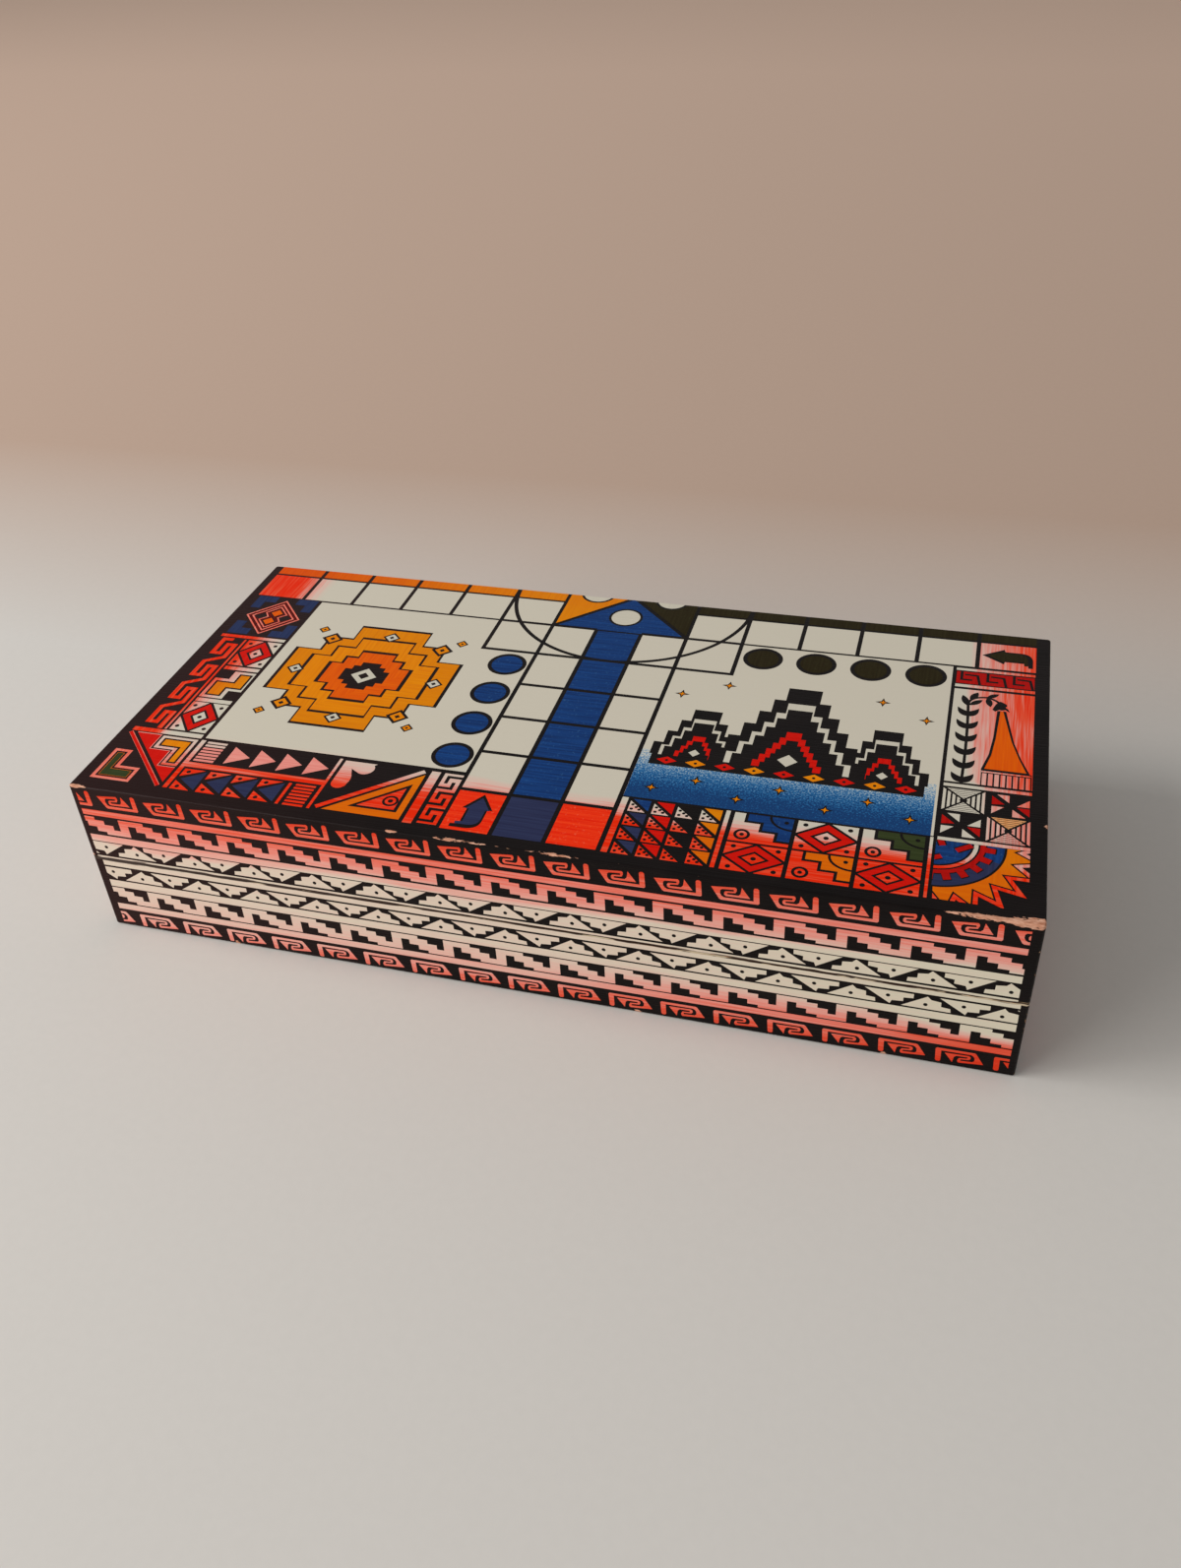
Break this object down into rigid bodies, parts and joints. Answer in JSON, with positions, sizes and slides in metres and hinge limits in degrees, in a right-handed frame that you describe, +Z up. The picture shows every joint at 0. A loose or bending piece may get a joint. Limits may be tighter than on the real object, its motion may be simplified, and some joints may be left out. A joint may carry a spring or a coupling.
{
  "type": "folding ludo board box",
  "caption": "Hinged wooden box with ludo board halves printed on the outsides of its two trays; it opens flat into the square board and stores counters and dice.",
  "frame": {"origin": "centre of the flat underside of the closed box", "axes": "+X along the hinge side, to the right in the picture; +Y towards the hinge side, away from the viewer; +Z up, from the lower half to the upper half"},
  "size_m": [0.3, 0.1518, 0.06],
  "materials": {
    "printed_wood_panel": "black screen print over red and white wash, satin",
    "printed_wood_rail": "black screen print over red and white wash outside, bare wood inside",
    "hinge_brass": "aged brass",
    "hinge_pin_brass": "aged brass",
    "screw_brass": "aged brass",
    "magnet_steel": "nickel plated",
    "counter_blue": "gloss enamel",
    "counter_orange": "gloss enamel",
    "counter_green": "gloss enamel",
    "counter_red": "gloss enamel",
    "dice_white": "polished ivory white with black pips"
  },
  "bodies": {
    "base": {"base_panel": "printed_wood_panel", "base_front_rail": "printed_wood_rail", "base_back_rail": "printed_wood_rail", "base_left_rail": "printed_wood_rail", "base_right_rail": "printed_wood_rail", "left_hinge_lower_leaf": "hinge_brass", "left_hinge_pin": "hinge_pin_brass", "right_hinge_lower_leaf": "hinge_brass", "right_hinge_pin": "hinge_pin_brass", "lower_hinge_screws": "screw_brass", "base_magnets": "magnet_steel", "counter_blue_1": "counter_blue", "counter_blue_2": "counter_blue", "counter_blue_3": "counter_blue", "counter_blue_4": "counter_blue", "counter_orange_1": "counter_orange", "counter_orange_2": "counter_orange", "counter_orange_3": "counter_orange", "counter_orange_4": "counter_orange", "counter_green_1": "counter_green", "counter_green_2": "counter_green", "counter_green_3": "counter_green", "counter_green_4": "counter_green", "counter_red_1": "counter_red", "counter_red_2": "counter_red", "counter_red_3": "counter_red", "counter_red_4": "counter_red", "die_one": "dice_white", "die_two": "dice_white"},
    "lid": {"lid_panel": "printed_wood_panel", "lid_front_rail": "printed_wood_rail", "lid_back_rail": "printed_wood_rail", "lid_left_rail": "printed_wood_rail", "lid_right_rail": "printed_wood_rail", "left_hinge_upper_leaf": "hinge_brass", "right_hinge_upper_leaf": "hinge_brass", "upper_hinge_screws": "screw_brass", "lid_magnets": "magnet_steel"}
  },
  "joints": [
    {"name": "lid_hinge", "type": "hinge", "parent": "base", "child": "lid", "pos_m": [0, 0.07515, 0.03], "axis": [-1, 0, 0], "range_deg": [0, 180]}
  ]
}
